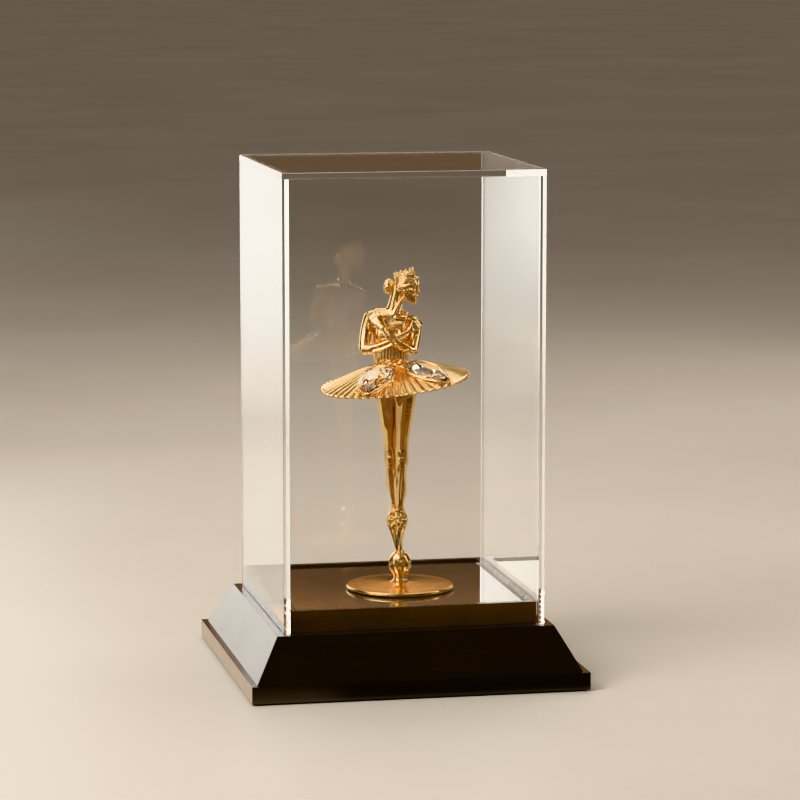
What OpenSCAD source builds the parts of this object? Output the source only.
// Display case: a bevelled black base with a raised deck, a clear lift-off cover,
// and a ballerina figurine on a round stand as the exhibit.
// Frame: +Z up, -Y is the front, origin under the middle of the base.

/* [Cover] */
// Outside width and depth of the clear cover
cover_w = 120; // [110:1:200]
// Thickness of the clear sheet
pane_t = 3; // [2:0.5:5]
// Clear height from the top of the tiara to the top pane
headroom = 44.9; // [10:1:120]

/* [Base] */
// Thickness of the felt under the base
felt_t = 0.8; // [0.5:0.1:2]
// Distance of the felt's edge from the edge of the foot board
felt_inset = 2; // [1:0.5:10]
// Height of the foot board's upright edge
foot_h = 7.8; // [7:0.1:15]
// Width of the step where the foot board stands out round the slope
foot_step = 2.8; // [1:0.1:6]
// Run of the plinth's slope, seen from above
slope_run = 10.9; // [4:0.1:25]
// Height of the plinth's slope
slope_h = 19.6; // [17:0.1:40]
// Width of the flat ledge outside the cover
ledge_w = 3.6; // [1:0.1:10]
// Height of the deck above the ledge
deck_h = 10; // [8:0.5:25]
// Clearance between the deck and the inside of the cover
deck_gap = 0.4; // [0.2:0.1:1.5]
// Width of the strips round the deck plate
rim_w = 3.5; // [2:0.1:6]
// Thickness of the deck plate
plate_t = 2; // [1:0.5:4]
// Depth of the deck plate's top below the strips
plate_sink = 1; // [0.5:0.1:3]
// Clearance round the deck plate
plate_gap = 0.1; // [0.05:0.05:0.5]

/* [Wood screws] */
// Shank diameter of the wood screws
screw_d = 3.5; // [3:0.5:5]
// Diameter of their countersunk heads
screw_head_d = 7; // [6:0.5:9]
// Height of the countersunk heads
screw_head_h = 2.4; // [2:0.1:3]
// Bite of the foot board's screws in the plinth
plinth_bite = 12; // [6:0.5:15]
// Bite of the plinth's screws in the deck board
deck_bite = 5; // [3:0.5:6]
// Distance of the foot board's screws from its edge
plinth_screw_inset = 30; // [25:1:45]
// Distance of the plinth's screws from the edge of the deck
deck_screw_inset = 30; // [20:1:40]
// Clearance round the screws in their holes
screw_gap = 0.1; // [0.05:0.05:0.5]

/* [Figurine stand] */
// Distance of the figurine's axis to the right of the case's middle
figure_x = 3.5; // [-10:0.1:10]
// Distance of the figurine's axis behind the case's middle
figure_y = -7; // [-12:0.1:12]
// Turn of the figurine about its upright axis
figure_turn = -11.5; // [-180:0.5:180]
// Diameter of the stand disc
disc_d = 49.6; // [40:0.1:70]
// Height of the disc's upright edge
disc_edge = 1.5; // [1:0.1:4]
// Rise of the disc's middle above its edge
disc_rise = 1.3; // [0.5:0.1:4]
// Thickness of the felt under the disc
disc_felt_t = 0.5; // [0.3:0.1:1.5]
// Distance of that felt's edge from the edge of the disc
disc_felt_inset = 1.5; // [1:0.5:5]
// Height of the flared neck under the ball
neck_h = 1.9; // [1:0.1:6]
// Width of the neck's flare on the disc
neck_d = 9.4; // [8:0.1:14]
// Width of the ball
ball_d = 10.4; // [9:0.1:16]
// Height of the ball
ball_h = 12.8; // [10:0.1:18]
// Width of the flat on the ball that carries the toes
toe_seat_d = 3.4; // [3:0.1:5]
// Shank diameter of the disc's screw
stand_screw_d = 3; // [2.5:0.5:4]
// Bite of the disc's screw in the ball stem
stand_screw_bite = 9; // [5:0.5:10]

/* [Dancer] */
// Height from the toes to the ankles
foot_l = 19.9; // [16:0.1:24]
// Height from the ankles to the knees
shin_l = 22.8; // [18:0.1:30]
// Height from the knees to the hips
thigh_l = 30; // [24:0.1:36]
// Height from the hips to the waist
hip_rise = 15.5; // [14:0.1:18]
// Height from the waist to the shoulders
torso_l = 20; // [18:0.1:24]
// Height from the shoulders to the chin
neck_l = 6.9; // [6:0.1:9]
// Height of the head from chin to crown
head_h = 15.6; // [14:0.1:17]
// Height of the tiara above the crown of the head
tiara_rise = 1.5; // [0.8:0.1:4]

/* [Skirt] */
// Diameter of the skirt
skirt_d = 69; // [56:0.1:80]
// Drop of the skirt's edge below the waist
skirt_drop = 9.4; // [6:0.1:14]
// Thickness of the skirt
skirt_t = 0.9; // [0.6:0.1:2]
// Height of the pleats at the edge, from fold to crest
pleat_h = 1; // [0.4:0.1:2]
// Number of pleats
pleats = 44; // [24:1:60]
// Sideways tilt of the skirt, its left side down
skirt_roll = 6.2; // [0:0.1:10]
// Forward tilt of the skirt, its front side down
skirt_pitch = 2.5; // [0:0.1:8]
// Height of the hub in the middle of the skirt
hub_h = 5; // [4:0.1:7]
// Diameter of the pin through legs, skirt and upper body
pin_d = 3; // [2:0.5:4]
// Bite of the pin in the legs and in the upper body
pin_bite = 6; // [4:0.5:8]
// Clearance round the pin
pin_gap = 0.1; // [0.05:0.05:0.3]

/* [Crystals] */
// Length of each pear-shaped crystal
crystal_l = 24; // [12:0.5:26]
// Width of each crystal
crystal_w = 15; // [6:0.5:16]
// Height of each crystal
crystal_h = 4.8; // [2:0.1:6]
// Shift of the crystals outwards from halfway between hub and rim
crystal_shift = 0.7; // [-2:0.1:2]
// Turn of the pair of crystals from the front
crystal_turn = 11; // [-45:1:45]

/* [Hidden] */
$fn = 48;
body_fn = 20;   // facets of the dancer's rounded forms
eps = 0.01;     // how far a cutter reaches past a face

// Base, from the cover outwards and from the floor up
cover_in = cover_w / 2 - pane_t;
ledge_half = cover_w / 2 + ledge_w;
slope_half = ledge_half + slope_run;
foot_half = slope_half + foot_step;
deck_half = cover_in - deck_gap;
well_half = deck_half - rim_w;
plinth_z = felt_t + foot_h;
ledge_z = plinth_z + slope_h;
deck_z = ledge_z + deck_h;
plate_z = deck_z - plate_sink;
board_z = plate_z - plate_t;
plinth_screw_at = foot_half - plinth_screw_inset;
deck_screw_at = deck_half - deck_screw_inset;

// Figurine, from the deck plate up
disc_z = disc_felt_t;
disc_top = disc_z + disc_edge + disc_rise;
ball_z = disc_top + neck_h + ball_h / 2;
toe_seat_rise = ball_h / 2 * sin(acos(toe_seat_d / ball_d));
neck_meet = -ball_h / 2 * 0.86;
toe_z = ball_z + toe_seat_rise;
ankle_z = toe_z + foot_l;
knee_z = ankle_z + shin_l;
hip_z = knee_z + thigh_l;
waist_z = hip_z + hip_rise;
shoulder_z = waist_z + torso_l;
chin_z = shoulder_z + neck_l;
crown_z = chin_z + head_h;
tiara_z = crown_z + tiara_rise;

// Cover, over the figurine
top_pane_z = plate_z + tiara_z + headroom;

// Waist: the skirt's own frame sits here, tilted with the skirt
waist_x = -3.1;
hub_d = 15;
hub_deep = 10.6;
skirt_slope = atan(skirt_drop / (skirt_d / 2 - hub_d / 2));

// Left and right are the viewer's, seen from the front
hip_left = [-7.3, 1.6, hip_z];
hip_right = [2.4, -1.2, hip_z];
knee_left = [-5, 1.8, knee_z];
knee_right = [0.9, -2, knee_z];
calf_left = [-3.2, 2, knee_z - shin_l * 0.45];
calf_right = [-0.1, -1.5, knee_z - shin_l * 0.45];
ankle_left = [-2, 1.4, ankle_z];
ankle_right = [-0.1, -1.3, ankle_z];
heel_left = [-4.1, 1.6, ankle_z - foot_l * 0.3];
heel_right = [1.6, 0.6, ankle_z - foot_l * 0.28];
arch_front = [-1, -2, ankle_z - foot_l * 0.35];
toes = [-0.1, 0, toe_z];
shoulder_left = [-13.8, 0, shoulder_z + 0.4];
shoulder_right = [7.1, 0, shoulder_z - 2.4];
elbow_left = [-16.3, -5, waist_z + 6.4];
elbow_right = [6.1, -6, waist_z + 6.4];
crossing_back = [-3.6, -8.2, shoulder_z - 9.6];
crossing_front = [-3.8, -10.8, shoulder_z - 7.8];
wrist_back = [5.4, -6.2, shoulder_z - 3.9];
wrist_front = [-9.6, -7, shoulder_z - 1.6];
hand_back = [8.6, -3.4, shoulder_z - 1.6];
hand_front = [-13, -3, shoulder_z + 2.2];
neck_foot = [-2.8, 0.6, shoulder_z + 1.6];
neck_top = [-0.8, 0.3, chin_z + 4.6];
skull = [2.2, 0.2, crown_z - 6.6];
skull_r = [5.6, 4.9, 6.6];
brow = [6, -0.8, crown_z - 6.8];
jaw = [5.6, -0.8, chin_z + 1.7];
bun = [-5, 1, crown_z - 7.6];

// Radii along each leg: hip, knee, calf, ankle
leg_left_r = [4.1, 2.4, 2.5, 1.7];
leg_right_r = [5.2, 3.2, 3.2, 1.9];
pelvis_r = [3.9, 4.9];
heel_r = 2;
toe_r = [1.4, 1.5];
// Radii along each arm: shoulder, elbow, crossing, wrist, palm
arm_left_r = [3.1, 2.4, 2, 1.5, 1.6];
arm_right_r = [3.1, 2.3, 2, 1.5, 1.6];
// Waist and chest of the bodice: radius, and distance from the waist and from the shoulders
waist_r = 6.6;
waist_up = 4;
chest_x = -3.8;
chest_r = 8.7;
chest_down = 7.2;
shoulder_r = 2.7;
// Neck, brow, jaw and bun
neck_r = [3.4, 2.5];
brow_r = 3.1;
jaw_r = 1.7;
temple_r = 4.2;
bun_r = 3.2;

// Base ------------------------------------------------------------------------------------------

module square_block(half, z0, z1) {
    translate([-half, -half, z0]) cube([2 * half, 2 * half, z1 - z0]);
}

// Copies a thing to the four corners of a square
module at_corners(at) {
    for (sx = [-1, 1], sy = [-1, 1]) translate([sx * at, sy * at, 0]) children();
}

// Wood screw from below: the head's flat face is at z0, the point is up
module wood_screw(z0, length) {
    translate([0, 0, z0]) {
        cylinder(h = screw_head_h, d1 = screw_head_d, d2 = screw_d);
        translate([0, 0, screw_head_h]) cylinder(h = length - screw_head_h, d = screw_d);
    }
}

// The hole for that screw, with its clearance
module screw_hole(z0, length) {
    translate([0, 0, z0 - eps])
        cylinder(h = screw_head_h + eps, d1 = screw_head_d + 2 * screw_gap, d2 = screw_d + 2 * screw_gap);
    translate([0, 0, z0]) cylinder(h = length + screw_gap, d = screw_d + 2 * screw_gap);
}

module base_felt() {
    color("dimgray") square_block(foot_half - felt_inset, 0, felt_t);
}

module foot_board() {
    color("black") difference() {
        square_block(foot_half, felt_t, plinth_z);
        at_corners(plinth_screw_at) screw_hole(felt_t, foot_h + eps);
    }
}

module slope_profile() {
    polygon([[-slope_half, 0], [slope_half, 0], [ledge_half, slope_h], [-ledge_half, slope_h]]);
}

module bevelled_plinth() {
    color("black") difference() {
        translate([0, 0, plinth_z]) intersection() {
            rotate([90, 0, 0]) translate([0, 0, -slope_half]) linear_extrude(2 * slope_half) slope_profile();
            rotate([90, 0, 90]) translate([0, 0, -slope_half]) linear_extrude(2 * slope_half) slope_profile();
        }
        at_corners(plinth_screw_at) screw_hole(felt_t, foot_h + plinth_bite);
        at_corners(deck_screw_at) screw_hole(plinth_z, slope_h + eps);
    }
}

module deck_board() {
    color("black") difference() {
        square_block(well_half, ledge_z, board_z);
        at_corners(deck_screw_at) screw_hole(plinth_z, slope_h + deck_bite);
    }
}

// One mitred strip, turned to its side of the deck
module deck_rim(turn) {
    color("black") rotate([0, 0, turn]) translate([0, 0, ledge_z]) linear_extrude(deck_h)
        polygon([[-deck_half, -deck_half], [deck_half, -deck_half],
            [well_half, -well_half], [-well_half, -well_half]]);
}

module deck_plate() {
    color([0.08, 0.06, 0.06]) square_block(well_half - plate_gap, board_z, plate_z);
}

module plinth_screws() {
    color("silver") at_corners(plinth_screw_at) wood_screw(felt_t, foot_h + plinth_bite);
}

module deck_screws() {
    color("silver") at_corners(deck_screw_at) wood_screw(plinth_z, slope_h + deck_bite);
}

// Cover -----------------------------------------------------------------------------------------

module clear() {
    color([0.85, 0.92, 0.95, 0.35]) children();
}

// Side pane, the full depth of the cover
module side_pane(side) {
    x0 = side < 0 ? -cover_w / 2 : cover_w / 2 - pane_t;
    clear() translate([x0, -cover_w / 2, ledge_z]) cube([pane_t, cover_w, top_pane_z - ledge_z]);
}

// Front or back pane, between the side panes
module face_pane(side) {
    y0 = side < 0 ? -cover_w / 2 : cover_w / 2 - pane_t;
    clear() translate([-cover_in, y0, ledge_z]) cube([2 * cover_in, pane_t, top_pane_z - ledge_z]);
}

module cover_top_pane() {
    clear() square_block(cover_w / 2, top_pane_z, top_pane_z + pane_t);
}

// Figurine --------------------------------------------------------------------------------------

// The figurine's own frame: origin on the deck plate under its axis
module figure() {
    translate([figure_x, figure_y, plate_z]) rotate([0, 0, figure_turn]) children();
}

// The skirt's frame: origin at the waist, tilted with the skirt
module skirt_frame() {
    translate([waist_x, 0, waist_z]) rotate([skirt_pitch, -skirt_roll, 0]) children();
}

module gold() {
    color([0.85, 0.62, 0.22]) children();
}

module ball(at, r) {
    translate(at) sphere(r, $fn = body_fn);
}

// A rounded limb between two points
module limb(a, b, ra, rb) {
    hull() {
        ball(a, ra);
        ball(b, rb);
    }
}

module disc_felt() {
    color("dimgray") figure() cylinder(h = disc_felt_t, d = disc_d - 2 * disc_felt_inset);
}

module stand_disc() {
    gold() figure() translate([0, 0, disc_z]) difference() {
        rotate_extrude() polygon([[0, 0], [disc_d / 2, 0], [disc_d / 2, disc_edge],
            [neck_d / 2, disc_edge + disc_rise], [0, disc_edge + disc_rise]]);
        stand_hole();
    }
}

// Countersunk screw up through the disc
module stand_screw(extra) {
    head_d = 2 * stand_screw_d;
    cylinder(h = stand_screw_d / 2, d1 = head_d + extra, d2 = stand_screw_d + extra);
    cylinder(h = disc_edge + disc_rise + stand_screw_bite, d = stand_screw_d + extra);
}

module stand_hole() {
    stand_screw(2 * screw_gap);
}

module disc_screw() {
    color("silver") figure() translate([0, 0, disc_z]) stand_screw(0);
}

// Egg-shaped ball on a flared neck, turned in one piece
module ball_stem() {
    low = asin(neck_meet / (ball_h / 2));
    high = acos(toe_seat_d / ball_d);
    steps = 12;
    egg = [for (i = [0:steps]) let (a = low + (high - low) * i / steps)
        [ball_d / 2 * cos(a), ball_z + ball_h / 2 * sin(a)]];
    gold() figure() difference() {
        rotate_extrude() polygon(concat([[0, disc_top], [neck_d / 2, disc_top],
            [neck_d / 2 * 0.66, disc_top + neck_h * 0.4]], egg, [[0, toe_z]]));
        translate([0, 0, disc_z]) cylinder(h = disc_edge + disc_rise + stand_screw_bite + screw_gap,
            d = stand_screw_d + 2 * screw_gap);
    }
}

// Leg down to the ankle, with its radii from the hip down
module leg(hip, knee, calf, ankle, r) {
    limb(hip, knee, r[0], r[1]);
    limb(knee, calf, r[1], r[2]);
    limb(calf, ankle, r[2], r[3]);
}

module dancer_legs() {
    gold() figure() difference() {
        union() {
            leg(hip_left, knee_left, calf_left, ankle_left, leg_left_r);
            leg(hip_right, knee_right, calf_right, ankle_right, leg_right_r);
            hull() {
                ball(hip_left, pelvis_r[0]);
                ball(hip_right, pelvis_r[1]);
                skirt_frame() translate([0, 0, -hub_h]) cylinder(h = 1, d = hub_d - 1, $fn = body_fn);
            }
            hull() {
                ball(ankle_left, leg_left_r[3]);
                ball(heel_left, heel_r);
                ball(toes + [0, 0, toe_r[0]], toe_r[0]);
            }
            hull() {
                ball(ankle_right, leg_right_r[3]);
                ball(heel_right, heel_r);
                ball(arch_front, heel_r);
                ball(toes + [0, 0, toe_r[0]], toe_r[1]);
            }
        }
        skirt_frame() translate([0, 0, -hub_h]) cylinder(h = hub_h + 5, d = 2 * hub_d);
        skirt_frame() translate([0, 0, -hub_h - pin_bite]) cylinder(h = pin_bite + 1, d = pin_d + 2 * pin_gap);
        translate([0, 0, toe_z - ball_h / 2]) cylinder(h = ball_h / 2, d = ball_d + 2);
    }
}

// Closed outline of the skirt, as [radius, height, share of the pleats]
skirt_outline = [[pin_d / 2 + pin_gap, 0, 0], [hub_d / 2, 0, 0.05],
    [skirt_d * 0.3, -(skirt_d * 0.3 - hub_d / 2) * tan(skirt_slope) + 0.3, 0.5],
    [skirt_d / 2, -skirt_drop, 1], [skirt_d / 2, -skirt_drop - skirt_t, 1],
    [skirt_d * 0.3, -(skirt_d * 0.3 - hub_d / 2) * tan(skirt_slope) + 0.3 - skirt_t, 0.5],
    [hub_d / 2, -skirt_t - 0.6, 0], [hub_d / 2, -hub_h, 0], [pin_d / 2 + pin_gap, -hub_h, 0]];

// Solid of revolution whose outline rises and falls with the pleats
module pleated(outline, count) {
    per_pleat = 2;
    turns = count * per_pleat;
    n = len(outline);
    points = [for (i = [0:turns - 1], p = outline) let (a = 360 * i / turns)
        [p[0] * cos(a), p[0] * sin(a), p[1] + p[2] * pleat_h / 2 * cos(count * a)]];
    faces = [for (i = [0:turns - 1], j = [0:n - 1])
        let (i2 = (i + 1) % turns, j2 = (j + 1) % n) each
        [[i * n + j, i * n + j2, i2 * n + j2], [i * n + j, i2 * n + j2, i2 * n + j]]];
    polyhedron(points, faces);
}

module tutu_skirt() {
    gold() figure() skirt_frame() pleated(skirt_outline, pleats);
}

module waist_pin() {
    gold() figure() skirt_frame() translate([0, 0, -hub_h - pin_bite])
        cylinder(h = hub_h + 2 * pin_bite, d = pin_d);
}

module waist() {
    translate([waist_x - 0.5, 0.3, waist_z + waist_up]) scale([1, 0.7, 1]) sphere(waist_r, $fn = body_fn);
}

module chest() {
    translate([chest_x, -0.3, shoulder_z - chest_down]) scale([1, 0.62, 0.7]) sphere(chest_r, $fn = body_fn);
}

module torso() {
    hull() {
        skirt_frame() scale([1, hub_deep / hub_d, 1]) cylinder(h = 0.5, d = hub_d - 0.4, $fn = body_fn);
        waist();
    }
    hull() {
        waist();
        chest();
    }
    hull() {
        chest();
        ball(shoulder_left + [1.5, 0, 0], shoulder_r);
        ball(shoulder_right + [-1.5, 0, 0], shoulder_r);
    }
}

// Crossed arm, with its radii from the shoulder to the hand
module arm(shoulder, elbow, crossing, wrist, hand, r) {
    limb(shoulder, elbow, r[0], r[1]);
    limb(elbow, crossing, r[1], r[2]);
    limb(crossing, wrist, r[2], r[3]);
    limb(wrist, hand, r[3], r[4]);
}

module arms() {
    arm(shoulder_left, elbow_left, crossing_back, wrist_back, hand_back, arm_left_r);
    arm(shoulder_right, elbow_right, crossing_front, wrist_front, hand_front, arm_right_r);
}

module skull() {
    translate(skull) scale(skull_r / skull_r[2]) sphere(skull_r[2], $fn = body_fn);
}

module neck_and_head() {
    limb(neck_foot, neck_top, neck_r[0], neck_r[1]);
    skull();
    hull() {
        ball(brow, brow_r);
        ball(jaw, jaw_r);
        ball(skull - [0, 0, 1.5], temple_r);
    }
    ball(bun, bun_r);
}

module dancer_upper_body() {
    gold() figure() difference() {
        union() {
            torso();
            arms();
            neck_and_head();
        }
        skirt_frame() translate([0, 0, -5]) cylinder(h = 5, d = 2 * hub_d);
        skirt_frame() translate([0, 0, -1]) cylinder(h = pin_bite + 1, d = pin_d + 2 * pin_gap);
    }
}

// Low crown band with five points, cut to sit on the head
module tiara() {
    band_d = 9.8;
    band_h = 1.6;
    wall = 0.8;
    gold() figure() difference() {
        translate([skull[0] + 0.6, skull[1], crown_z - 2.6]) rotate([0, 8, 0]) union() {
            cylinder(h = band_h, d = band_d);
            for (a = [-110:55:110]) rotate([0, 0, a]) translate([band_d / 2 - wall / 2, 0, band_h - eps])
                cylinder(h = 1 + tiara_rise, d1 = 1.6, d2 = 0.5, $fn = 16);
        }
        translate([skull[0] + 0.6, skull[1], crown_z - 4]) cylinder(h = 8, d = band_d - 2 * wall);
        skull();
    }
}

// Pear-shaped outline of share s of the full size: round towards the hub, pointed outwards
module pear(s) {
    sides = 24;
    fullest = 0.77;
    polygon([for (i = [0:sides - 1]) let (t = 360 * i / sides)
        s * [crystal_l / 2 * cos(t), crystal_w / 2 / fullest * sin(t) * sin(t / 2)]]);
}

// Cut crystal: flat back, girdle and table
module crystal() {
    girdle_z = crystal_h * 0.4;
    hull() {
        linear_extrude(eps) pear(0.8);
        translate([0, 0, girdle_z]) linear_extrude(eps) pear(1);
        translate([0, 0, crystal_h - eps]) linear_extrude(eps) pear(0.5);
    }
}

module skirt_crystals() {
    mid_r = (hub_d + skirt_d) / 4 + crystal_shift;
    mid_z = -(mid_r - hub_d / 2) * tan(skirt_slope) + 0.3 + pleat_h / 2 * 0.6;
    color([0.9, 0.95, 1, 0.6]) figure() skirt_frame()
        for (a = [-34, 34]) rotate([0, 0, a - 90 + crystal_turn])
            translate([mid_r, 0, mid_z]) rotate([0, skirt_slope, 0]) crystal();
}

foot_board();
bevelled_plinth();
deck_board();
deck_rim(0);  // deck_rim_front
deck_rim(180);  // deck_rim_back
deck_rim(-90);  // deck_rim_left
deck_rim(90);  // deck_rim_right
deck_plate();
base_felt();
plinth_screws();
deck_screws();
face_pane(-1);  // cover_front_pane
face_pane(1);  // cover_back_pane
side_pane(-1);  // cover_left_pane
side_pane(1);  // cover_right_pane
cover_top_pane();
stand_disc();
disc_felt();
disc_screw();
ball_stem();
dancer_legs();
tutu_skirt();
waist_pin();
dancer_upper_body();
tiara();
skirt_crystals();
